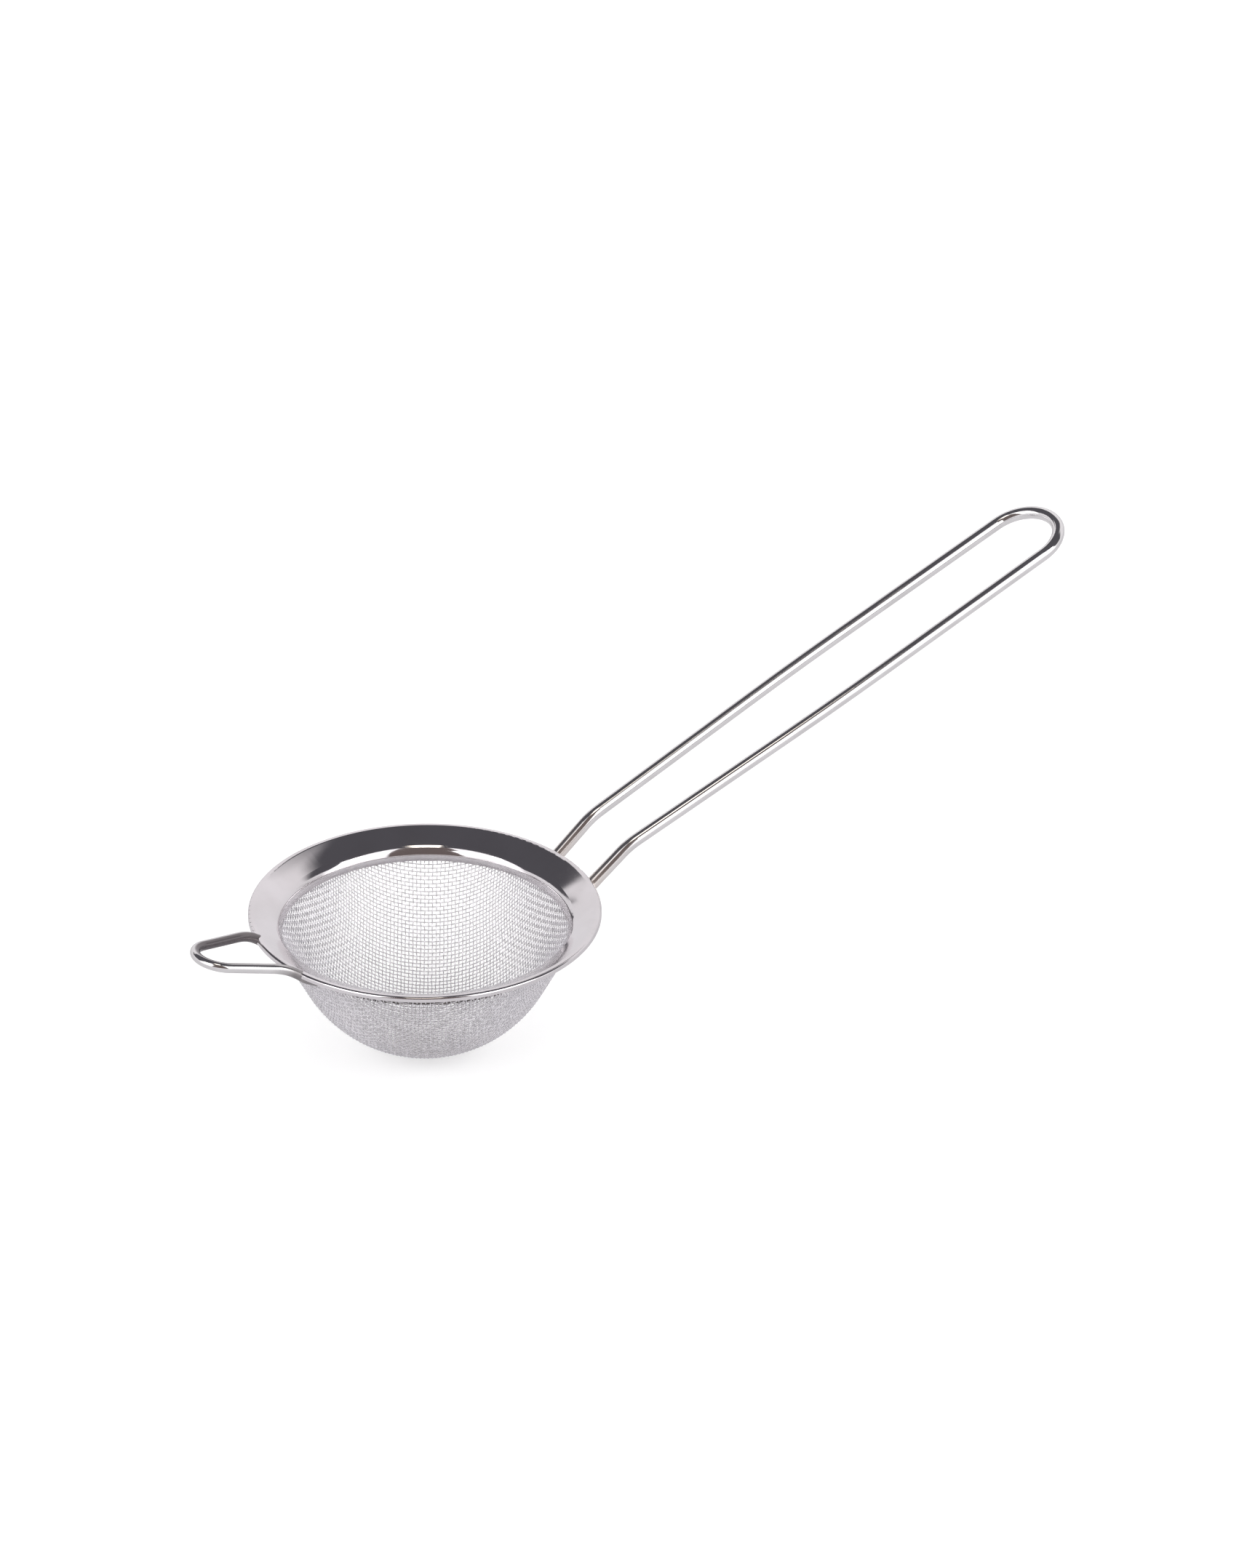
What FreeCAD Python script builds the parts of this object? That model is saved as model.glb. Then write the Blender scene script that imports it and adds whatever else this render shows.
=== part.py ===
"""A hand-held tea strainer of polished stainless steel, in millimetres.

Five pieces make it up. A pressed sheet collar carries everything: a bell-mouthed flange with a flat,
turned-down lip outside and a short round throat inside. A round bowl of woven wire hangs from the throat:
its edge is spot-welded round a plain hoop, the mesh ring, which is pressed over the outside of the throat.
A long U of thick wire is the handle and a short U of thinner wire opposite it is the rest hook; the open
ends of both lie under the flange, where they are spot-welded.

The origin is the centre of the throat's round wall. +Z is up, out of the bowl, and +X points to the handle.
"""

import FreeCAD, Part
import math
import os

import Sketcher

V = FreeCAD.Vector
ROOT_POINT, V_AXIS = -1, -2
START, END, CENTRE = 1, 2, 3

DIMENSIONS = {
    # the collar's sheet: throat, bell-mouthed flange and flat, turned-down lip
    "sheet_gauge": 0.4,
    "rim_radius": 35.0,
    "throat_radius": 28.3,
    "throat_length": 0.5,
    "throat_bend": 2.8,
    "flange_slope_in": 32.0,
    "flange_slope_out": 22.0,
    "lip_shoulder": 0.8,
    "lip_slope": 3.0,
    "lip_flat": 0.45,
    "lip_bend": 0.5,
    "lip_skirt": 0.5,
    # the woven bowl, as thick as two crossing wires
    "cloth_thickness": 0.44,
    "bowl_radius": 27.5,
    "bowl_centre_height": 2.273,
    "cloth_bend_height": -0.55,
    "cloth_edge_height": 0.95,
    "press_gap": 0.02,
    # the mesh ring inside the cloth's edge
    "ring_gauge": 0.4,
    "ring_bottom": -0.3,
    "ring_top": 0.3,
    "ring_edge_round": 0.12,
    # the handle's wire, from under the flange to the end loop
    "handle_wire_radius": 1.3,
    "handle_end_reach": 30.6,
    "handle_end_height": 1.578,
    "handle_end_spread": 6.5,
    "handle_lip_reach": 34.6,
    "handle_lip_height": 2.943,
    "handle_lip_spread": 6.65,
    "handle_bend_reach": 43.3,
    "handle_bend_height": 9.673,
    "handle_bend_spread": 6.97,
    "handle_mid_spread": 8.5,
    "handle_loop_reach": 142.1,
    "handle_loop_height": 48.423,
    "handle_loop_radius": 8.2,
    "handle_lip_bend": 5.0,
    "handle_root_bend": 14.0,
    "handle_mid_bend": 700.0,
    # the rest hook's wire, on the other side
    "hook_wire_radius": 1.0,
    "hook_end_reach": 30.0,
    "hook_end_height": 1.878,
    "hook_end_spread": 8.9,
    "hook_lip_reach": 32.4,
    "hook_lip_height": 3.078,
    "hook_lip_spread": 8.5,
    "hook_bend_reach": 35.9,
    "hook_bend_height": 5.95,
    "hook_bend_spread": 7.8,
    "hook_loop_reach": 46.15,
    "hook_loop_height": 8.15,
    "hook_loop_radius": 5.3,
    "hook_lip_bend": 4.0,
    "hook_root_bend": 12.0,
    # how much wider than a wire its saddle in the lip is cut, all round
    "saddle_gap": 0.04,
}


def make_sheet(doc):
    """The driving dimensions, one named cell each."""
    sheet = doc.addObject("Spreadsheet::Sheet", "Dims")
    for row, (alias, value) in enumerate(DIMENSIONS.items(), start=1):
        sheet.set(f"A{row}", alias)
        sheet.set(f"B{row}", str(value))
        sheet.setAlias(f"B{row}", alias)
    doc.recompute()
    return sheet


def size(sheet, alias):
    """A dimension's value, as a plain number."""
    return float(getattr(sheet, alias))


# --- sketch helpers ---------------------------------------------------------------------------------


def new_body(doc, label):
    """An empty body whose label is its piece's name."""
    body = doc.addObject("PartDesign::Body", label)
    body.Label = label
    return body


def new_sketch(body, name):
    """A sketch on the body's own XZ plane: x is the radius, y is the height."""
    sketch = body.newObject("Sketcher::SketchObject", name)
    plane = [f for f in body.Origin.OriginFeatures if f.Role == "XZ_Plane"][0]
    sketch.AttachmentSupport = (plane, [""])
    sketch.MapMode = "FlatFace"
    return sketch


def bind(sketch, name, expression, *constraint):
    """Adds a named dimension and ties it to an expression in the sheet's cells."""
    index = sketch.addConstraint(Sketcher.Constraint(*constraint))
    sketch.renameConstraint(index, name)
    sketch.setExpression(f"Constraints.{name}", expression)


def add_line(sketch, start, end):
    """A straight edge between two (radius, height) points."""
    return sketch.addGeometry(Part.LineSegment(V(*start, 0), V(*end, 0)), False)


def add_arc(sketch, centre, radius, first_deg, last_deg):
    """An arc that runs anticlockwise between two angles."""
    circle = Part.Circle(V(*centre, 0), V(0, 0, 1), radius)
    arc = Part.ArcOfCircle(circle, math.radians(first_deg), math.radians(last_deg))
    return sketch.addGeometry(arc, False)


def join(sketch, first, first_end, second, second_end, kind="Coincident"):
    """Makes two edges meet, or meet smoothly when kind is Tangent."""
    sketch.addConstraint(Sketcher.Constraint(kind, first, first_end, second, second_end))


def revolve(body, sketch):
    """Turns a closed outline once round the vertical axis."""
    feature = body.newObject("PartDesign::Revolution", sketch.Name + "Turned")
    feature.Profile = sketch
    feature.ReferenceAxis = (sketch, ["V_Axis"])
    feature.Angle = 360.0
    sketch.Visibility = False
    body.Tip = feature
    return feature


# --- collar -----------------------------------------------------------------------------------------


def collar_chain(sketch, sheet, side, inward):
    """One face of the collar's sheet, from the throat's foot to the lip's foot, inward gauges below the top.

    Returns the first and last edges, which the sheet's cut edges close.
    """
    depth = inward * size(sheet, "sheet_gauge")
    less = f" - {inward} * Dims.sheet_gauge"
    wall = size(sheet, "throat_radius") + depth
    half = size(sheet, "throat_length") / 2
    bend = size(sheet, "throat_bend") - depth
    steep = size(sheet, "flange_slope_in")
    shallow = size(sheet, "flange_slope_out")
    level = size(sheet, "lip_slope")
    shoulder = size(sheet, "lip_shoulder") - depth
    flat = size(sheet, "lip_flat")
    roll = size(sheet, "lip_bend") - depth
    outside = size(sheet, "rim_radius") - depth

    def at(angle_deg):
        return math.cos(math.radians(angle_deg)), math.sin(math.radians(angle_deg))

    steep_x, steep_y = at(90 + steep)
    shallow_x, shallow_y = at(90 + shallow)
    level_x, level_y = at(90 + level)
    bend_end = (wall + bend + bend * steep_x, half + bend * steep_y)
    flat_x, flat_y = flat * level_y, -flat * level_x
    shoulder_x = outside - roll + (roll - shoulder) * level_x - flat_x
    sweep = (shoulder_x + shoulder * shallow_x - bend_end[0]) / (shallow_x - steep_x)
    middle = (bend_end[0] - sweep * steep_x, bend_end[1] - sweep * steep_y)
    shoulder_y = middle[1] + (sweep - shoulder) * shallow_y
    flat_start = (shoulder_x + shoulder * level_x, shoulder_y + shoulder * level_y)
    flat_end = (flat_start[0] + flat_x, flat_start[1] + flat_y)
    roll_height = flat_end[1] - roll * level_y
    foot = roll_height - size(sheet, "lip_skirt")

    throat = add_line(sketch, (wall, -half), (wall, half))
    inner_bend = add_arc(sketch, (wall + bend, half), bend, 90 + steep, 180)
    flange = add_arc(sketch, middle, sweep, 90 + shallow, 90 + steep)
    rise = add_arc(sketch, (shoulder_x, shoulder_y), shoulder, 90 + level, 90 + shallow)
    strip = add_line(sketch, flat_start, flat_end)
    lip = add_arc(sketch, (outside - roll, roll_height), roll, 0, 90 + level)
    skirt = add_line(sketch, (outside, roll_height), (outside, foot))

    sketch.addConstraint(Sketcher.Constraint("Vertical", throat))
    join(sketch, throat, END, inner_bend, END, "Tangent")
    join(sketch, inner_bend, START, flange, END, "Tangent")
    join(sketch, flange, START, rise, END, "Tangent")
    join(sketch, rise, START, strip, START, "Tangent")
    join(sketch, strip, END, lip, END, "Tangent")
    join(sketch, lip, START, skirt, START, "Tangent")

    bind(sketch, f"{side}_throat", f"Dims.throat_radius + {inward} * Dims.sheet_gauge",
         "DistanceX", ROOT_POINT, START, throat, START, wall)
    bind(sketch, f"{side}_foot", "-Dims.throat_length / 2",
         "DistanceY", ROOT_POINT, START, throat, START, -half)
    bind(sketch, f"{side}_wall", "Dims.throat_length", "Distance", throat, 2 * half)
    bind(sketch, f"{side}_bend", "Dims.throat_bend" + less, "Radius", inner_bend, bend)
    bind(sketch, f"{side}_bend_turn", "90 - Dims.flange_slope_in",
         "Angle", inner_bend, math.radians(90 - steep))
    bind(sketch, f"{side}_flange_turn", "Dims.flange_slope_in - Dims.flange_slope_out",
         "Angle", flange, math.radians(steep - shallow))
    bind(sketch, f"{side}_shoulder", "Dims.lip_shoulder" + less, "Radius", rise, shoulder)
    bind(sketch, f"{side}_shoulder_turn", "Dims.flange_slope_out - Dims.lip_slope",
         "Angle", rise, math.radians(shallow - level))
    bind(sketch, f"{side}_flat", "Dims.lip_flat", "Distance", strip, flat)
    bind(sketch, f"{side}_roll", "Dims.lip_bend" + less, "Radius", lip, roll)
    bind(sketch, f"{side}_roll_turn", "90 + Dims.lip_slope",
         "Angle", lip, math.radians(90 + level))
    bind(sketch, f"{side}_rim", "Dims.rim_radius" + less,
         "DistanceX", ROOT_POINT, START, skirt, END, outside)
    bind(sketch, f"{side}_skirt", "Dims.lip_skirt", "Distance", skirt, roll_height - foot)
    return throat, skirt


def make_collar_blank(doc, sheet):
    """The pressed collar before its saddles: throat, bell-mouthed flange and lip in one sheet."""
    body = new_body(doc, "collar_blank")
    sketch = new_sketch(body, "CollarOutline")
    top = collar_chain(sketch, sheet, "top", 0)
    under = collar_chain(sketch, sheet, "under", 1)
    for first, second, end in ((top[0], under[0], START), (top[1], under[1], END)):
        one = sketch.getPoint(first, end)
        other = sketch.getPoint(second, end)
        cut = add_line(sketch, (one.x, one.y), (other.x, other.y))
        join(sketch, cut, START, first, end)
        join(sketch, cut, END, second, end)
    doc.recompute()
    revolve(body, sketch)
    return body


# --- mesh ring --------------------------------------------------------------------------------------


def make_mesh_ring(doc, sheet):
    """The plain hoop that carries the cloth's edge and is pressed over the outside of the throat."""
    body = new_body(doc, "mesh_ring")
    sketch = new_sketch(body, "RingOutline")
    inside = size(sheet, "throat_radius") + size(sheet, "sheet_gauge") + size(sheet, "press_gap")
    outside = inside + size(sheet, "ring_gauge")
    low = size(sheet, "ring_bottom")
    high = size(sheet, "ring_top")
    corners = [(inside, low), (outside, low), (outside, high), (inside, high)]
    edges = [add_line(sketch, corners[k], corners[(k + 1) % 4]) for k in range(4)]
    for k in range(4):
        join(sketch, edges[k], END, edges[(k + 1) % 4], START)
    for k, direction in enumerate(("Horizontal", "Vertical", "Horizontal", "Vertical")):
        sketch.addConstraint(Sketcher.Constraint(direction, edges[k]))
    bind(sketch, "inside", "Dims.throat_radius + Dims.sheet_gauge + Dims.press_gap",
         "DistanceX", ROOT_POINT, START, edges[0], START, inside)
    bind(sketch, "gauge", "Dims.ring_gauge",
         "DistanceX", edges[0], START, edges[0], END, outside - inside)
    bind(sketch, "bottom", "Dims.ring_bottom",
         "DistanceY", ROOT_POINT, START, edges[0], START, low)
    bind(sketch, "width", "Dims.ring_top - Dims.ring_bottom",
         "DistanceY", edges[1], START, edges[1], END, high - low)
    doc.recompute()
    hoop = revolve(body, sketch)
    doc.recompute()
    rounded = body.newObject("PartDesign::Fillet", "RingEdges")
    circles = [f"Edge{k}" for k, edge in enumerate(hoop.Shape.Edges, start=1)
               if isinstance(edge.Curve, Part.Circle) and edge.Curve.Radius > outside - inside]
    rounded.Base = (hoop, circles)
    rounded.setExpression("Radius", "Dims.ring_edge_round")
    body.Tip = rounded
    return body


# --- woven bowl -------------------------------------------------------------------------------------


def bowl_chain(sketch, sheet, side, inward):
    """One face of the cloth: a round bottom, a straight flank and a short upright edge round the ring."""
    depth = inward * size(sheet, "cloth_thickness")
    gap = size(sheet, "press_gap")
    outside = size(sheet, "throat_radius") + size(sheet, "sheet_gauge") + gap
    outside += size(sheet, "ring_gauge") + gap + size(sheet, "cloth_thickness") - depth
    radius = size(sheet, "bowl_radius") - depth
    centre = (0.0, size(sheet, "bowl_centre_height"))
    bend = (outside, size(sheet, "cloth_bend_height"))
    edge = (outside, size(sheet, "cloth_edge_height"))
    drop = math.degrees(math.atan2(centre[1] - bend[1], outside))
    turn = drop + math.degrees(math.acos(radius / math.hypot(outside, centre[1] - bend[1])))
    touch = (radius * math.cos(math.radians(turn)), centre[1] - radius * math.sin(math.radians(turn)))

    bottom = add_arc(sketch, centre, radius, 270, 360 - turn)
    flank = add_line(sketch, touch, bend)
    upright = add_line(sketch, bend, edge)
    join(sketch, bottom, END, flank, START, "Tangent")
    join(sketch, flank, END, upright, START)
    sketch.addConstraint(Sketcher.Constraint("Vertical", upright))
    sketch.addConstraint(Sketcher.Constraint("PointOnObject", bottom, CENTRE, V_AXIS))
    sketch.addConstraint(Sketcher.Constraint("PointOnObject", bottom, START, V_AXIS))
    bind(sketch, f"{side}_centre", "Dims.bowl_centre_height",
         "DistanceY", ROOT_POINT, START, bottom, CENTRE, centre[1])
    bind(sketch, f"{side}_radius", f"Dims.bowl_radius - {inward} * Dims.cloth_thickness",
         "Radius", bottom, radius)
    bind(sketch, f"{side}_edge",
         "Dims.throat_radius + Dims.sheet_gauge + Dims.ring_gauge + 2 * Dims.press_gap"
         f" + {1 - inward} * Dims.cloth_thickness",
         "DistanceX", ROOT_POINT, START, upright, END, outside)
    bind(sketch, f"{side}_top", "Dims.cloth_edge_height",
         "DistanceY", ROOT_POINT, START, upright, END, edge[1])
    return bottom, flank, upright


def make_mesh_bowl(doc, sheet):
    """The woven bowl as one closed shell, as thick as the cloth."""
    body = new_body(doc, "mesh_bowl")
    sketch = new_sketch(body, "BowlOutline")
    outer = bowl_chain(sketch, sheet, "outer", 0)
    inner = bowl_chain(sketch, sheet, "inner", 1)
    bind(sketch, "bend_height", "Dims.cloth_bend_height",
         "DistanceY", ROOT_POINT, START, outer[1], END, size(sheet, "cloth_bend_height"))
    sketch.addConstraint(Sketcher.Constraint("Parallel", outer[1], inner[1]))
    for first, second, end in ((outer[0], inner[0], START), (outer[2], inner[2], END)):
        one = sketch.getPoint(first, end)
        other = sketch.getPoint(second, end)
        cut = add_line(sketch, (one.x, one.y), (other.x, other.y))
        join(sketch, cut, START, first, end)
        join(sketch, cut, END, second, end)
    doc.recompute()
    revolve(body, sketch)
    return body


# --- bent wires -------------------------------------------------------------------------------------


def rounded_edges(points, bends):
    """Straight edges through the points, each inner corner rounded to its own bend radius."""
    edges = []
    start = points[0]
    for corner, after, radius in zip(points[1:-1], points[2:], bends):
        before = (start - corner).normalize()
        beyond = (after - corner).normalize()
        half_angle = before.getAngle(beyond) / 2
        run = radius / math.tan(half_angle)
        bisector = (before + beyond).normalize()
        centre = corner + bisector * (radius / math.sin(half_angle))
        first = corner + before * run
        last = corner + beyond * run
        edges.append(Part.LineSegment(start, first).toShape())
        edges.append(Part.Arc(first, centre - bisector * radius, last).toShape())
        start = last
    edges.append(Part.LineSegment(start, points[-1]).toShape())
    return edges


def touch_point(point, centre, radius):
    """Where a straight run from point first touches a loop, both lying in one plane with the Y axis."""
    away = point - centre
    sideways = V(0, 1, 0)
    along = (away - sideways * away.y).normalize()
    reach = away.Length
    angle = math.atan2(away.y, away.dot(along)) + math.acos(radius / reach)
    return centre + along * (radius * math.cos(angle)) + sideways * (radius * math.sin(angle))


def u_path(half, bends, centre, radius):
    """A U of wire: half is one leg's corners from its open end, and the loop joins it to its mirror image."""
    legs = half + [touch_point(half[-1], centre, radius)]
    edges = rounded_edges(legs, bends)
    forward = (centre - V(half[-1].x, 0, half[-1].z)).normalize()
    across = V(legs[-1].x, -legs[-1].y, legs[-1].z)
    loop = Part.Arc(legs[-1], centre + forward * radius, across).toShape()
    mirrored = [edge.mirror(V(0, 0, 0), V(0, 1, 0)) for edge in reversed(edges)]
    return Part.Wire(edges + [loop] + mirrored)


def make_spine(doc, name, path):
    """The centre line that a wire and its saddle share."""
    spine = doc.addObject("Part::Feature", name)
    spine.Shape = path
    return spine


def make_wire(doc, label, spine, radius):
    """A round bar drawn along a centre line; radius is an expression."""
    first = spine.Shape.OrderedEdges[0]
    heading = first.tangentAt(first.FirstParameter)
    section = doc.addObject("Part::Circle", label + "_section")
    section.setExpression("Radius", radius)
    section.Placement = FreeCAD.Placement(first.valueAt(first.FirstParameter),
                                          FreeCAD.Rotation(V(0, 0, 1), heading))
    wire = doc.addObject("Part::Sweep", label)
    wire.Label = label
    wire.Sections = [section]
    wire.Spine = (spine, [f"Edge{k + 1}" for k in range(len(spine.Shape.Edges))])
    wire.Solid = True
    wire.Frenet = False
    return wire


def leg_point(sheet, side, place, direction):
    """One named corner of a leg: its reach along X, its spread along Y and its height."""
    return V(direction * size(sheet, f"{side}_{place}_reach"),
             size(sheet, f"{side}_{place}_spread"),
             size(sheet, f"{side}_{place}_height"))


def handle_spine(doc, sheet):
    """The long U: under the flange, up past the lip, then out to the end loop with a slight swell."""
    half = [leg_point(sheet, "handle", place, 1) for place in ("end", "lip", "bend")]
    centre = V(size(sheet, "handle_loop_reach"), 0, size(sheet, "handle_loop_height"))
    swell = (half[-1] + centre) * 0.5
    swell.y = size(sheet, "handle_mid_spread")
    bends = [size(sheet, f"handle_{place}_bend") for place in ("lip", "root", "mid")]
    path = u_path(half + [swell], bends, centre, size(sheet, "handle_loop_radius"))
    return make_spine(doc, "handle_path", path)


def hook_spine(doc, sheet):
    """The short U that rests on the far edge of a cup."""
    half = [leg_point(sheet, "hook", place, -1) for place in ("end", "lip", "bend")]
    centre = V(-size(sheet, "hook_loop_reach"), 0, size(sheet, "hook_loop_height"))
    bends = [size(sheet, f"hook_{place}_bend") for place in ("lip", "root")]
    path = u_path(half, bends, centre, size(sheet, "hook_loop_radius"))
    return make_spine(doc, "hook_path", path)


def cut_saddles(doc, blank, spines):
    """The finished collar: the lip is cut away where each wire passes out through it."""
    tools = [make_wire(doc, f"{name}_saddle", spine, f"Dims.{name}_wire_radius + Dims.saddle_gap")
             for name, spine in spines.items()]
    both = doc.addObject("Part::MultiFuse", "saddles")
    both.Shapes = tools
    collar = doc.addObject("Part::Cut", "rim_collar")
    collar.Label = "rim_collar"
    collar.Base = blank
    collar.Tool = both
    return collar


# --- the whole strainer -----------------------------------------------------------------------------


def check(doc, pieces):
    """Stops if any feature failed or any piece isn't one sound solid."""
    for item in doc.Objects:
        if "Invalid" in item.State or "Error" in item.State:
            raise RuntimeError(f"{item.Label} did not compute")
    for piece in pieces:
        shape = piece.Shape
        if shape.isNull() or not shape.isValid() or len(shape.Solids) != 1:
            raise RuntimeError(f"{piece.Label} is not one valid solid")


def main():
    """Builds the five pieces and writes each to its own file."""
    doc = FreeCAD.newDocument("tea_strainer")
    sheet = make_sheet(doc)
    spines = {"handle": handle_spine(doc, sheet), "hook": hook_spine(doc, sheet)}
    pieces = [
        cut_saddles(doc, make_collar_blank(doc, sheet), spines),
        make_mesh_ring(doc, sheet),
        make_mesh_bowl(doc, sheet),
        make_wire(doc, "handle_wire", spines["handle"], "Dims.handle_wire_radius"),
        make_wire(doc, "rest_hook", spines["hook"], "Dims.hook_wire_radius"),
    ]
    doc.recompute()
    check(doc, pieces)
    os.makedirs("parts", exist_ok=True)
    for piece in pieces:
        piece.Shape.exportStep(f"parts/{piece.Label}.step")
        print(f"{piece.Label}: {piece.Shape.Volume:.1f} mm3")


main()
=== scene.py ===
import math
import random

import bpy
from mathutils import Matrix, Vector


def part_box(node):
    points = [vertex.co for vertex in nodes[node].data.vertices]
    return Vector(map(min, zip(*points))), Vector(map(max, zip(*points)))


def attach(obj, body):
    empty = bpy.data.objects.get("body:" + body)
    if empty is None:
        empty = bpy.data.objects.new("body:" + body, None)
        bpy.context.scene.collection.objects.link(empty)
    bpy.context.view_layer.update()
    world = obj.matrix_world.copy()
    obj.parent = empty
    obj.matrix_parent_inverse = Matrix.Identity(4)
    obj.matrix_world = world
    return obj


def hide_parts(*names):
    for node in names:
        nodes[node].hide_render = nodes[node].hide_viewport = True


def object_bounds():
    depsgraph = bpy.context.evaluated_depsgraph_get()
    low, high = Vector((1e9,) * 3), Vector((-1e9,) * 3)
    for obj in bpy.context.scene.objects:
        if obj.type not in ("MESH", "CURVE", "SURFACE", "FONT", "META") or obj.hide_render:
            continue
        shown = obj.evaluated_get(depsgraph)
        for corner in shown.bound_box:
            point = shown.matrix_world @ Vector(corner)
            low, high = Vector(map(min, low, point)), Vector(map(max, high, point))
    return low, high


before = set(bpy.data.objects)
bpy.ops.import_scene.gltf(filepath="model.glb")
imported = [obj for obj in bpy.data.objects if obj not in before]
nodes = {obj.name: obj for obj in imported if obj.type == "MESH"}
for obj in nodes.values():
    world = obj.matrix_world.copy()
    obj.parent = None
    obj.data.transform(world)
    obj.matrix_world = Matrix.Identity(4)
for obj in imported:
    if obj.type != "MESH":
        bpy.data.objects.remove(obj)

CAD_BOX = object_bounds()

# Tea strainer of polished stainless steel: sheet collar, woven wire bowl, bent wire handle and rest hook.
# Everything is in metres, in the frame of the CAD model: +Z up, +X towards the handle.
# The collar, mesh ring, handle and hook are the CAD's own solids in new materials. The bowl is woven here.

MM = 0.001
BODY = "root"

# Wires of the cloth, and how far a crossing strays, as an angle seen from the bowl's centre
WIRE_RADIUS = 0.11 * MM
WIRE_PITCH = 0.78 * MM
WIRE_SIDES = 5
WEAVE_TURN = math.radians(57.4)
WEAVE_WANDER = 0.0025
WEAVE_SEED = 11
# Fine wire scatters a little light from its die marks, so it isn't a pure mirror
WIRE_METALLIC = 0.72

# Profile of the cloth: the foot of its upright edge, and how much wider that edge is than the round bottom
CLOTH_BEND_HEIGHT = -0.55 * MM
CLOTH_FLARE = 2.08 * MM

# Where the net of threads ends: its highest point on a unit ball, the shortest diagonal of a rhombus in
# mesh widths, and the fewest crossings that make a wire
NET_TOP = 0.6
SHORTEST_DIAGONAL = 0.2
SHORTEST_RUN = 3

# Sizes of the CAD's pieces that the materials follow: the collar's sheet, the outer radius of the lip's
# round edge, and the outer radius of the rest hook's loop
SHEET_GAUGE = 0.4 * MM
LIP_BEND = 0.5 * MM
HOOK_LOOP = 6.3 * MM

# Tint of the wires towards the rim, where they are welded on: its colour, and the reach from the bowl's
# axis over which it fades.
# On the handle it is the heat tint of welding; on the hook the wire simply turns dark towards the rim.
HANDLE_WELD_TINT = (0.80, 0.71, 0.64, 1.0)
HANDLE_WELD_FADE = (34.0 * MM, 46.0 * MM)
# The hook's wires turn dark towards the rim.
HOOK_RIM_TINT = (0.22, 0.20, 0.20, 1.0)
HOOK_RIM_FADE = (35.5 * MM, 41.0 * MM)

# Point of view of the photograph: the camera's place is seen from the middle of the rim
VIEW_AZIMUTH = math.radians(32.641)
VIEW_ELEVATION = math.radians(28.836)
VIEW_ROLL = math.radians(0.282)
VIEW_DISTANCE = 1.5
VIEW_RIGHT = 40.08 * MM
VIEW_UP = 24.66 * MM
VIEW_LENS = 174.0
VIEW_FILM = 36.0
VIEW_NEAR = 0.01
VIEW_FAR = 50.0

# Lamps: a direction is (right, forward, up) as the camera sees it
KEY_LEFT = (-0.62, -0.60, 0.55)
KEY_RIGHT = (0.70, -0.48, 0.55)
KEY_SIZE = (0.70, 0.55)
KEY_POWER = 2.2
TOP_LAMP = (0.0, -0.27, 1.0)
TOP_SIZE = (0.26, 0.30)
TOP_POWER = 0.55
TOP_COLOUR = (1.0, 0.93, 0.82)
LIGHT_DISTANCE = 1.1
FLOOR_SIDE = 8.0
FLOOR_GLOW = 0.18

VIEW_FORWARD = Vector((math.sin(VIEW_AZIMUTH), math.cos(VIEW_AZIMUTH), 0.0))
VIEW_SIDE = Vector((math.cos(VIEW_AZIMUTH), -math.sin(VIEW_AZIMUTH), 0.0))
UP = Vector((0.0, 0.0, 1.0))
WHITE = (1.0, 1.0, 1.0, 1.0)


# ---------------------------------------------------------------- node helpers

def node(tree, kind, inputs=None, **settings):
    """Adds a node, sets its properties, and fills or links its inputs by name or number."""
    made = tree.nodes.new(kind)
    for name, value in settings.items():
        setattr(made, name, value)
    for name, value in (inputs or {}).items():
        socket = made.inputs[name]
        if isinstance(value, bpy.types.NodeSocket):
            tree.links.new(value, socket)
        else:
            socket.default_value = value
    return made


def maths(tree, operation, first, second):
    return node(tree, "ShaderNodeMath", {0: first, 1: second}, operation=operation).outputs[0]


def add(tree, first, second):
    return maths(tree, "ADD", first, second)


def times(tree, first, second):
    return maths(tree, "MULTIPLY", first, second)


def vector_maths(tree, operation, first, second=(0.0, 0.0, 0.0)):
    """A vector operation: its outputs are "Vector", and "Value" for a length or a dot product."""
    return node(tree, "ShaderNodeVectorMath", {0: first, 1: second}, operation=operation).outputs


def join(tree, x, y, z=0.0):
    return node(tree, "ShaderNodeCombineXYZ", {"X": x, "Y": y, "Z": z}).outputs["Vector"]


def split(tree, vector):
    made = node(tree, "ShaderNodeSeparateXYZ", {"Vector": vector})
    return made.outputs["X"], made.outputs["Y"], made.outputs["Z"]


def axis_distance(tree, x, y):
    return vector_maths(tree, "LENGTH", join(tree, x, y))["Value"]


def smooth(tree, value, low, high):
    """0 below low, 1 above high, smooth between; low above high turns it round."""
    flip = low > high
    made = node(tree, "ShaderNodeMapRange",
                {"Value": value, "From Min": min(low, high), "From Max": max(low, high),
                 "To Min": 1.0 if flip else 0.0, "To Max": 0.0 if flip else 1.0},
                interpolation_type="SMOOTHSTEP")
    return made.outputs["Result"]


def window(tree, value, span, fades):
    """1 inside the span (low, high), fading out past each end over that end's own width."""
    rising = smooth(tree, value, span[0] - fades[0], span[0])
    falling = smooth(tree, value, span[1] + fades[1], span[1])
    return times(tree, rising, falling)


def remap(tree, value, source, target):
    """Takes the span source = (low, high) in a straight line to the span target."""
    made = node(tree, "ShaderNodeMapRange",
                {"Value": value, "From Min": source[0], "From Max": source[1],
                 "To Min": target[0], "To Max": target[1]})
    return made.outputs["Result"]


def noise(tree, vector, scale, detail, roughness=0.5):
    made = node(tree, "ShaderNodeTexNoise",
                {"Vector": vector, "Scale": scale, "Detail": detail, "Roughness": roughness})
    return made.outputs["Fac"]


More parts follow.
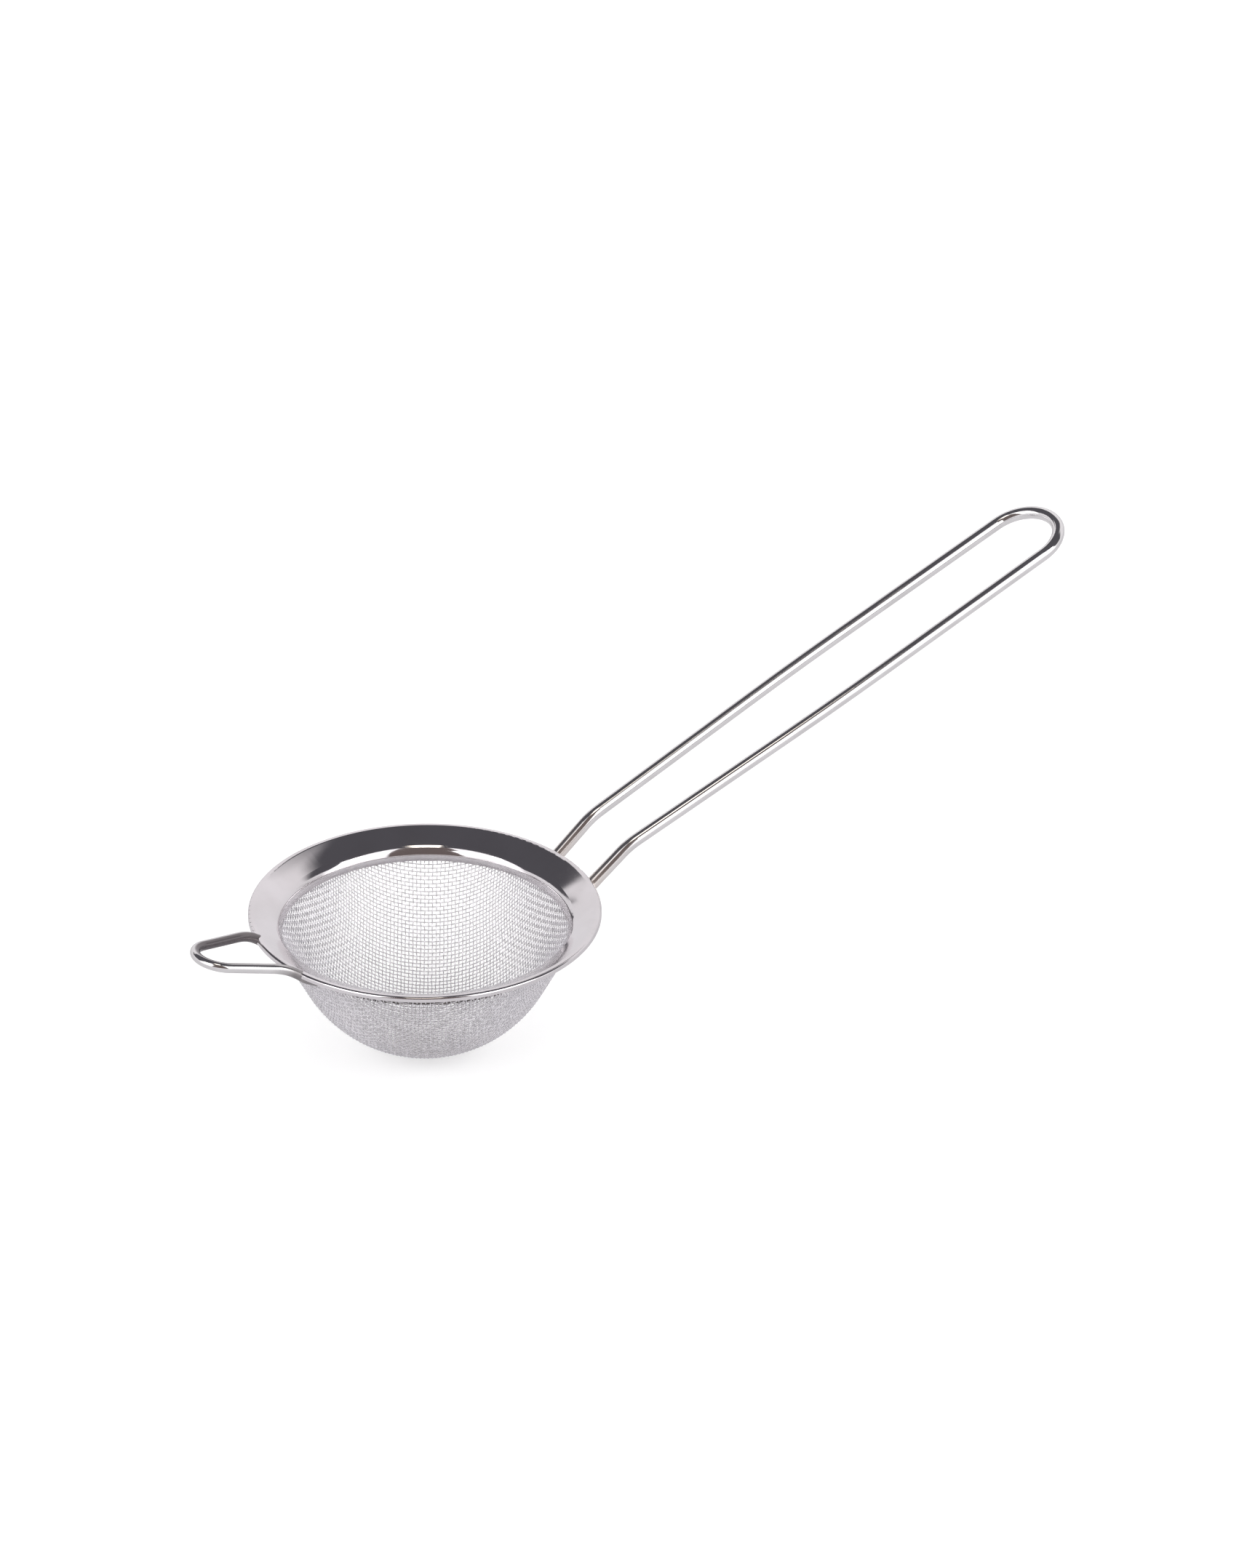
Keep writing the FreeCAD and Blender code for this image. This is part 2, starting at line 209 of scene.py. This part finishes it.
def mix(tree, factor, first, second, kind="RGBA"):
    made = node(tree, "ShaderNodeMix", {"Factor": factor, "A": first, "B": second}, data_type=kind)
    return made.outputs["Result"]


def bump(tree, height, strength, distance, normal=None):
    inputs = {"Height": height, "Strength": strength, "Distance": distance}
    if normal is not None:
        inputs["Normal"] = normal
    return node(tree, "ShaderNodeBump", inputs).outputs["Normal"]


def object_place(tree):
    return node(tree, "ShaderNodeTexCoord").outputs["Object"]


def mesh_normal(tree):
    return node(tree, "ShaderNodeNewGeometry").outputs["Normal"]


def new_material(name):
    material = bpy.data.materials.new(name)
    material.use_nodes = True
    material.node_tree.nodes.clear()
    return material.node_tree


def dress(material_name, *pieces):
    """Gives every material slot of the pieces one material."""
    material = bpy.data.materials[material_name]
    for piece in pieces:
        if not piece.material_slots:
            piece.data.materials.append(material)
        for entry in piece.material_slots:
            entry.material = material


# ---------------------------------------------------------------- metals

def metal(tree, colour, roughness, normal, metallic=1.0):
    shader = node(tree, "ShaderNodeBsdfPrincipled",
                  {"Base Color": colour, "Metallic": metallic, "Roughness": roughness, "Normal": normal})
    node(tree, "ShaderNodeOutputMaterial", {"Surface": shader.outputs["BSDF"]})


def lip_normal(tree, place, corner):
    """The mesh's normal, but the exact one over the round edge of the lip.

    The edge's outer surface is part of a torus of tube radius LIP_BEND that ends at the corner of the
    collar's box, so its normal points away from the tube's centre line. The sheet's inner surface lies
    nearer to that line, by a sheet's thickness, and is left alone.
    """
    x, y, z = split(tree, place)
    radius = axis_distance(tree, x, y)
    outward = maths(tree, "SUBTRACT", radius, corner.x - LIP_BEND)
    upward = maths(tree, "SUBTRACT", z, corner.z - LIP_BEND)
    share = maths(tree, "DIVIDE", outward, radius)
    arm = join(tree, times(tree, x, share), times(tree, y, share), upward)
    exact = vector_maths(tree, "NORMALIZE", arm)["Vector"]
    arm_length = vector_maths(tree, "LENGTH", arm)["Value"]

    on_outer_skin = maths(tree, "GREATER_THAN", arm_length, LIP_BEND - SHEET_GAUGE / 2.0)
    beyond_line = maths(tree, "GREATER_THAN", outward, 0.0)
    above_line = maths(tree, "GREATER_THAN", upward, 0.0)
    on_edge = times(tree, times(tree, beyond_line, above_line), on_outer_skin)
    return mix(tree, on_edge, mesh_normal(tree), exact, "VECTOR")


def collar_steel(corner):
    """Pressed and polished sheet: faint rings from the polishing wheel, smudges and hairline scratches.

    The underside is left rougher, without polish, and its darker colour is painted shade.
    """
    bright = (0.80, 0.775, 0.79, 1.0)
    smudged = (0.74, 0.715, 0.725, 1.0)
    underside_painted_shade = (0.36, 0.35, 0.36, 1.0)
    ring_stretch = 0.004

    tree = new_material("polished_sheet_steel")
    place = object_place(tree)
    x, y, z = split(tree, place)
    reach = vector_maths(tree, "LENGTH", place)["Value"]
    angle = maths(tree, "ARCTAN2", y, x)
    turned = join(tree, times(tree, angle, ring_stretch), reach, z)
    rings = noise(tree, turned, 2600.0, 2.0)
    scratches = noise(tree, turned, 9000.0, 4.0, 0.7)
    smudges = noise(tree, place, 90.0, 4.0)
    waviness = noise(tree, place, 45.0, 1.0)

    normal_z = split(tree, mesh_normal(tree))[2]
    beneath = smooth(tree, normal_z, -0.03, -0.25)
    scratched = times(tree, smooth(tree, scratches, 0.60, 0.74), 0.10)
    worn = remap(tree, smudges, (0.35, 0.70), (0.05, 0.13))
    roughness = add(tree, add(tree, worn, scratched), times(tree, beneath, 0.22))
    polished = mix(tree, smooth(tree, smudges, 0.35, 0.70), bright, smudged)
    # Painted shade: the colour turns dark where the surface faces down.
    tone = mix(tree, beneath, polished, underside_painted_shade)

    wheel_marks = bump(tree, rings, 0.10, 0.006 * MM, lip_normal(tree, place, corner))
    press_marks = bump(tree, waviness, 0.25, 0.25 * MM, wheel_marks)
    metal(tree, tone, roughness, press_marks)


def wire_steel(name, rim_tint, rim_fade, loop_centre=None):
    """Drawn wire, polished: lengthwise die lines, and the given tint towards the rim, where the wire is
    welded on.

    With a loop centre given, the side of the wire that faces the loop's middle is left rougher, and its
    colour is darkened as painted shade.
    """
    bright = (0.84, 0.83, 0.83, 1.0)
    smudged = (0.77, 0.76, 0.76, 1.0)
    loop_painted_shade = (0.20, 0.185, 0.19, 1.0)
    line_stretch = (0.02, 1.0, 1.0)

    tree = new_material(name)
    place = object_place(tree)
    x, y, _ = split(tree, place)
    lengthwise = vector_maths(tree, "MULTIPLY", place, line_stretch)["Vector"]
    lines = noise(tree, lengthwise, 7000.0, 3.0, 0.6)
    smudges = noise(tree, place, 140.0, 4.0)

    rim_start, rim_end = rim_fade
    near_rim = smooth(tree, axis_distance(tree, x, y), rim_end, rim_start)
    rim_share = times(tree, near_rim, remap(tree, smudges, (0.3, 0.7), (0.35, 0.95)))
    dulled = rim_share
    steel = mix(tree, smooth(tree, smudges, 0.35, 0.70), bright, smudged)
    if loop_centre is not None:
        inside = loop_inside(tree, x, y, loop_centre)
        # Painted shade on the side of the wire that faces the loop's middle.
        steel = mix(tree, inside, steel, loop_painted_shade)
        dulled = maths(tree, "MAXIMUM", rim_share, times(tree, inside, 0.5))
    tone = mix(tree, rim_share, steel, rim_tint)
    worn = remap(tree, smudges, (0.35, 0.70), (0.06, 0.14))
    roughness = add(tree, worn, times(tree, dulled, 0.28))
    metal(tree, tone, roughness, bump(tree, lines, 0.12, 0.01 * MM))


def loop_inside(tree, x, y, centre):
    """1 on the side of a U of wire that faces its own middle, 0 on its outer side."""
    past = maths(tree, "MINIMUM", maths(tree, "SUBTRACT", x, centre), 0.0)
    outward = vector_maths(tree, "NORMALIZE", join(tree, past, y))["Vector"]
    facing = vector_maths(tree, "DOT_PRODUCT", mesh_normal(tree), outward)["Value"]
    return smooth(tree, facing, 0.25, -0.35)


def woven_steel():
    """Fine bright wire: strands and single knuckles lighter or darker, duller where it has been rubbed."""
    dark_strand = (0.80, 0.785, 0.81, 1.0)
    light_strand = (0.97, 0.95, 0.985, 1.0)
    pressed_knuckle = (0.74, 0.725, 0.75, 1.0)
    rubbed = (0.84, 0.82, 0.845, 1.0)

    tree = new_material("woven_wire_steel")
    place = object_place(tree)
    strand = node(tree, "ShaderNodeAttribute", attribute_name="strand_tone").outputs["Fac"]
    patches = noise(tree, place, 160.0, 3.0)
    grain = noise(tree, place, 9000.0, 2.0)
    knuckles = noise(tree, place, 1300.0, 2.0)
    tone = mix(tree, strand, dark_strand, light_strand)
    pressed = mix(tree, smooth(tree, knuckles, 0.42, 0.58), pressed_knuckle, tone)
    worn = mix(tree, smooth(tree, patches, 0.45, 0.75), pressed, rubbed)
    roughness = remap(tree, patches, (0.3, 0.7), (0.16, 0.30))
    metal(tree, worn, roughness, bump(tree, grain, 0.2, 0.01 * MM), WIRE_METALLIC)


def ring_steel():
    """Rolled strip, duller than the rest; its dark, blotchy colour is painted shade, as the ring sits in
    shadow under the lip.
    """
    strip_painted_shade = (0.40, 0.39, 0.38, 1.0)
    strip_deeper_painted_shade = (0.24, 0.21, 0.20, 1.0)
    rolling_stretch = (0.05, 0.05, 1.0)

    tree = new_material("rolled_strip_steel")
    place = object_place(tree)
    stretched = vector_maths(tree, "MULTIPLY", place, rolling_stretch)["Vector"]
    rolling = noise(tree, stretched, 6000.0, 3.0)
    shade_blotches = noise(tree, place, 200.0, 4.0)
    # Painted shade: dark blotchy colour on the ring under the lip.
    tone = mix(tree, smooth(tree, shade_blotches, 0.4, 0.7), strip_painted_shade, strip_deeper_painted_shade)
    roughness = remap(tree, rolling, (0.3, 0.7), (0.18, 0.34))
    metal(tree, tone, roughness, bump(tree, rolling, 0.2, 0.01 * MM))


# ---------------------------------------------------------------- woven bowl

class Bowl:
    """Middle surface of the cloth: a profile turned about Z, with round bottom, flared flank, upright edge.

    The outer side of the cloth's wires stands two wire radii off this surface.
    """

    def __init__(self, low, high):
        proud = 2.0 * WIRE_RADIUS
        self.edge_radius = high.x - proud
        self.radius = self.edge_radius - CLOTH_FLARE
        self.centre = low.z + proud + self.radius
        self.tangent = self.tangent_angle()
        bend = Vector((self.edge_radius, CLOTH_BEND_HEIGHT))
        self.flank = (bend - self.on_sphere(self.tangent)).length
        self.round_length = self.radius * self.tangent
        self.length = self.round_length + self.flank + high.z - CLOTH_BEND_HEIGHT

    def on_sphere(self, angle):
        return Vector((self.radius * math.sin(angle), self.centre - self.radius * math.cos(angle)))

    def tangent_angle(self):
        """Where a line from the bend touches the round bottom, as an angle from the pole."""
        across = Vector((self.edge_radius, CLOTH_BEND_HEIGHT - self.centre))
        direction = math.atan2(across.x, -across.y)
        return direction - math.acos(self.radius / across.length)

    def at(self, arc):
        """Radius, height, and the outward normal (radial, axial) at an arc length from the pole."""
        if arc <= self.round_length:
            angle = arc / self.radius
            point = self.on_sphere(angle)
            return point.x, point.y, math.sin(angle), -math.cos(angle)
        touch = self.on_sphere(self.tangent)
        past = arc - self.round_length
        if past <= self.flank:
            step = (Vector((self.edge_radius, CLOTH_BEND_HEIGHT)) - touch) * (past / self.flank)
            return touch.x + step.x, touch.y + step.y, math.sin(self.tangent), -math.cos(self.tangent)
        return self.edge_radius, CLOTH_BEND_HEIGHT + past - self.flank, 1.0, 0.0

    def arc_to(self, direction):
        """Arc length from the pole to where a direction on the unit ball is laid."""
        return self.radius * math.acos(max(-1.0, min(1.0, -direction.z)))


def draped_net(count, step):
    """Crossings of two families of threads of one mesh width, laid over a unit ball from its lowest point.

    The first thread of each family is a great circle. Every further crossing closes a rhombus, so it is
    the mirror image of the crossing before it in the plane through its two neighbours and the centre.
    """
    net = {}
    for i in range(count):
        net[i, 0] = Vector((math.sin(i * step), 0.0, -math.cos(i * step)))
        net[0, i] = Vector((0.0, math.sin(i * step), -math.cos(i * step)))
    for i in range(1, count):
        for j in range(1, count):
            corners = [net.get(key) for key in ((i - 1, j), (i, j - 1), (i - 1, j - 1))]
            if None in corners:
                continue
            mirror = corners[0].cross(corners[1])
            if mirror.length < SHORTEST_DIAGONAL * step:
                continue
            mirror.normalize()
            crossing = corners[2] - 2.0 * corners[2].dot(mirror) * mirror
            if crossing.z < NET_TOP:
                net[i, j] = crossing
    return net


def whole_net(quarter):
    """The quarter net mirrored to all four sides."""
    net = {}
    for (i, j), point in quarter.items():
        for side in (1, -1):
            for other in (1, -1):
                net[i * side, j * other] = Vector((point.x * side, point.y * other, point.z))
    return net


def wander(net, chance):
    """Moves every crossing a hair sideways, as no real cloth is woven evenly."""
    for key in sorted(net):
        push_x = chance.uniform(-WEAVE_WANDER, WEAVE_WANDER)
        push_y = chance.uniform(-WEAVE_WANDER, WEAVE_WANDER)
        net[key] = (net[key] + Vector((push_x, push_y, 0.0))).normalized()


def wire_runs(net, bowl, family):
    """Strings of crossings along each wire of one family, kept while they lie on the cloth."""
    lines = {}
    for key in net:
        lines.setdefault(key[1 - family], []).append(key)
    for keys in lines.values():
        keys.sort(key=lambda key: key[family])
        run = []
        for key in keys:
            on_cloth = bowl.arc_to(net[key]) <= bowl.length
            joined = not run or key[family] == run[-1][family] + 1
            if not on_cloth or not joined:
                if len(run) >= SHORTEST_RUN:
                    yield run
                run = []
            if on_cloth:
                run.append(key)
        if len(run) >= SHORTEST_RUN:
            yield run


def surface_point(direction, bowl, lift):
    """A point over the cloth's middle surface, and its outward normal, for a direction on the unit ball."""
    turn = math.atan2(direction.y, direction.x) + WEAVE_TURN
    radius, height, radial, axial = bowl.at(min(bowl.arc_to(direction), bowl.length))
    outward = Vector((math.cos(turn), math.sin(turn), 0.0))
    normal = radial * outward + axial * UP
    return radius * outward + height * UP + lift * normal, normal


def wire_path(run, net, bowl, family):
    """Points and normals along a wire that goes over one crossing and under the next."""
    path = []
    for index, key in enumerate(run):
        side = 1.0 if (key[0] + key[1] + family) % 2 else -1.0
        path.append(surface_point(net[key], bowl, side * WIRE_RADIUS))
        if index + 1 < len(run):
            middle = (net[key] + net[run[index + 1]]).normalized()
            path.append(surface_point(middle, bowl, 0.0))
    return path


def sweep_wire(path, verts, faces):
    """Adds a closed tube of WIRE_SIDES sides round a path."""
    start = len(verts)
    last = len(path) - 1
    for index, (point, normal) in enumerate(path):
        after = path[min(index + 1, last)][0]
        before = path[max(index - 1, 0)][0]
        tangent = (after - before).normalized()
        across = tangent.cross(normal).normalized()
        lifted = across.cross(tangent)
        for side in range(WIRE_SIDES):
            turn = math.tau * side / WIRE_SIDES
            verts.append(point + WIRE_RADIUS * (math.cos(turn) * lifted + math.sin(turn) * across))
    for ring in range(last):
        for side in range(WIRE_SIDES):
            here = start + ring * WIRE_SIDES
            beside = (side + 1) % WIRE_SIDES
            faces.append((here + side, here + WIRE_SIDES + side,
                          here + WIRE_SIDES + beside, here + beside))
    end = start + last * WIRE_SIDES
    faces.append(tuple(range(start, start + WIRE_SIDES)))
    faces.append(tuple(reversed(range(end, end + WIRE_SIDES))))


def weave(name, net, bowl, family, chance):
    """One family of the cloth's wires as one piece, each wire with a tone of its own."""
    verts, faces, tones = [], [], []
    for run in wire_runs(net, bowl, family):
        before = len(verts)
        sweep_wire(wire_path(run, net, bowl, family), verts, faces)
        tones.extend([chance.random()] * (len(verts) - before))
    mesh = bpy.data.meshes.new(name)
    mesh.from_pydata(verts, [], faces)
    mesh.attributes.new("strand_tone", "FLOAT", "POINT").data.foreach_set("value", tones)
    mesh.shade_smooth()
    piece = bpy.data.objects.new(name, mesh)
    bpy.context.scene.collection.objects.link(piece)
    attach(piece, BODY)
    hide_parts("mesh_bowl")
    return piece


def woven_bowl():
    low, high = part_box("mesh_bowl")
    bowl = Bowl(low, high)
    chance = random.Random(WEAVE_SEED)
    count = int(bowl.length / WIRE_PITCH) + 2
    net = whole_net(draped_net(count, WIRE_PITCH / bowl.radius))
    wander(net, chance)
    warp = weave("mesh_warp_wires", net, bowl, 0, chance)
    weft = weave("mesh_weft_wires", net, bowl, 1, chance)
    return warp, weft


# ---------------------------------------------------------------- studio

def studio_world():
    """A pale room with dark cards overhead, as the polished steel mirrors it; plain white to the camera.

    A card lies on the ceiling: its spans are side over height and distance ahead over height of the ray.
    A wall's spans are its bearing round the object, in radians from behind the camera, and its height.
    """
    nearest_height = 0.02
    wall_low = (0.80, 0.79, 0.81, 1.0)
    wall_high = (0.93, 0.90, 0.92, 1.0)
    bright_wall = (1.35, 1.33, 1.35, 1.0)
    doorway = (0.16, 0.13, 0.125, 1.0)
    dark_card = (0.090, 0.087, 0.098, 1.0)

    world = bpy.data.worlds.new("studio")
    bpy.context.scene.world = world
    world.use_nodes = True
    tree = world.node_tree
    tree.nodes.clear()
    ray = node(tree, "ShaderNodeTexCoord").outputs["Generated"]
    side = vector_maths(tree, "DOT_PRODUCT", ray, VIEW_SIDE)["Value"]
    forward = vector_maths(tree, "DOT_PRODUCT", ray, VIEW_FORWARD)["Value"]
    height = vector_maths(tree, "DOT_PRODUCT", ray, UP)["Value"]
    above = maths(tree, "MAXIMUM", height, nearest_height)
    across = maths(tree, "DIVIDE", side, above)
    ahead = maths(tree, "DIVIDE", forward, above)
    bearing = maths(tree, "ARCTAN2", side, times(tree, forward, -1.0))

    def card(across_span, across_fades, ahead_span, ahead_fades):
        return times(tree, window(tree, across, across_span, across_fades),
                     window(tree, ahead, ahead_span, ahead_fades))

    def wall(bearing_span, bearing_fades, height_span, height_fades):
        return times(tree, window(tree, bearing, bearing_span, bearing_fades),
                     window(tree, height, height_span, height_fades))

    ceiling = card((-1.30, 0.25), (0.05, 0.50), (-0.38, 1.16), (0.03, 0.03))
    left_wing = card((-2.60, -1.30), (0.30, 0.12), (-0.38, 1.85), (0.03, 0.15))
    right_wing = card((0.20, 2.30), (0.10, 0.40), (-0.38, 0.42), (0.03, 0.34))
    gap = wall((-0.47, 0.50), (0.06, 0.06), (0.12, 0.96), (0.06, 0.02))
    behind = wall((-1.30, 1.40), (0.15, 0.15), (0.06, 0.93), (0.04, 0.03))
    wings = maths(tree, "MAXIMUM", left_wing, right_wing)
    cards = maths(tree, "MAXIMUM", ceiling, wings)
    overhead = times(tree, cards, smooth(tree, height, 0.10, 0.20))

    room = mix(tree, smooth(tree, height, -0.3, 0.9), wall_low, wall_high)
    lit = mix(tree, behind, room, bright_wall)
    parted = mix(tree, gap, lit, doorway)
    mirrored = mix(tree, overhead, parted, dark_card)

    lights = node(tree, "ShaderNodeLightPath")
    soft = mix(tree, lights.outputs["Is Diffuse Ray"], mirrored, WHITE)
    seen = mix(tree, lights.outputs["Is Camera Ray"], soft, WHITE)
    background = node(tree, "ShaderNodeBackground", {"Color": seen, "Strength": 1.0})
    node(tree, "ShaderNodeOutputWorld", {"Surface": background.outputs["Background"]})


def softbox(name, direction, target, size, power, colour=WHITE[:3]):
    data = bpy.data.lights.new(name, "AREA")
    data.shape = "RECTANGLE"
    data.size, data.size_y = size
    data.energy = power
    data.color = colour
    lamp = bpy.data.objects.new(name, data)
    bpy.context.scene.collection.objects.link(lamp)
    right, forward, up = direction
    toward = (right * VIEW_SIDE + forward * VIEW_FORWARD + up * UP).normalized()
    lamp.location = target + LIGHT_DISTANCE * toward
    lamp.rotation_euler = toward.to_track_quat("Z", "Y").to_euler()
    lamp.visible_camera = False


def floor_finish():
    """Pale matt floor: a little light of its own for the camera only, greyer where steel mirrors it."""
    pale = (0.90, 0.90, 0.90, 1.0)
    paler = (0.94, 0.94, 0.94, 1.0)
    in_steel = (0.60, 0.59, 0.61, 1.0)

    tree = new_material("pale_floor")
    mottle = noise(tree, object_place(tree), 12.0, 3.0)
    lights = node(tree, "ShaderNodeLightPath")
    seen = mix(tree, lights.outputs["Is Glossy Ray"], mix(tree, mottle, pale, paler), in_steel)
    glow = times(tree, lights.outputs["Is Camera Ray"], FLOOR_GLOW)
    shader = node(tree, "ShaderNodeBsdfPrincipled",
                  {"Base Color": seen, "Roughness": 0.9,
                   "Emission Color": WHITE, "Emission Strength": glow})
    node(tree, "ShaderNodeOutputMaterial", {"Surface": shader.outputs["BSDF"]})


def floor(height):
    floor_finish()
    half = FLOOR_SIDE / 2.0
    corners = [(-half, -half, height), (half, -half, height),
               (half, half, height), (-half, half, height)]
    mesh = bpy.data.meshes.new("floor")
    mesh.from_pydata(corners, [], [(0, 1, 2, 3)])
    piece = bpy.data.objects.new("floor", mesh)
    bpy.context.scene.collection.objects.link(piece)
    dress("pale_floor", piece)


def camera(rim_centre):
    level = math.cos(VIEW_ELEVATION)
    steep = math.sin(VIEW_ELEVATION)
    forward = level * VIEW_FORWARD - steep * UP
    level_up = steep * VIEW_FORWARD + level * UP
    right = math.cos(VIEW_ROLL) * VIEW_SIDE + math.sin(VIEW_ROLL) * level_up
    up = math.cos(VIEW_ROLL) * level_up - math.sin(VIEW_ROLL) * VIEW_SIDE
    data = bpy.data.cameras.new("photo_camera")
    data.lens = VIEW_LENS
    data.sensor_width = VIEW_FILM
    data.clip_start = VIEW_NEAR
    data.clip_end = VIEW_FAR
    made = bpy.data.objects.new("photo_camera", data)
    bpy.context.scene.collection.objects.link(made)
    turn = Matrix((right, up, -forward)).transposed()
    place = rim_centre + VIEW_RIGHT * right + VIEW_UP * up - VIEW_DISTANCE * forward
    made.matrix_world = Matrix.Translation(place) @ turn.to_4x4()
    bpy.context.scene.camera = made


# ---------------------------------------------------------------- the object and its studio

collar_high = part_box("rim_collar")[1]
hook_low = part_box("rest_hook")[0]
collar_steel(collar_high)
wire_steel("drawn_wire_steel", HANDLE_WELD_TINT, HANDLE_WELD_FADE)
wire_steel("hook_wire_steel", HOOK_RIM_TINT, HOOK_RIM_FADE, hook_low.x + HOOK_LOOP)
woven_steel()
ring_steel()

dress("polished_sheet_steel", nodes["rim_collar"])
dress("rolled_strip_steel", nodes["mesh_ring"])
dress("drawn_wire_steel", nodes["handle_wire"])
dress("hook_wire_steel", nodes["rest_hook"])
dress("woven_wire_steel", *woven_bowl())

rim_centre = Vector((0.0, 0.0, collar_high.z))
studio_world()
softbox("key_left", KEY_LEFT, rim_centre, KEY_SIZE, KEY_POWER)
softbox("key_right", KEY_RIGHT, rim_centre, KEY_SIZE, KEY_POWER)
softbox("top_lamp", TOP_LAMP, rim_centre, TOP_SIZE, TOP_POWER, TOP_COLOUR)
floor(CAD_BOX[0].z)
camera(rim_centre)
bpy.context.scene.view_settings.view_transform = "Standard"
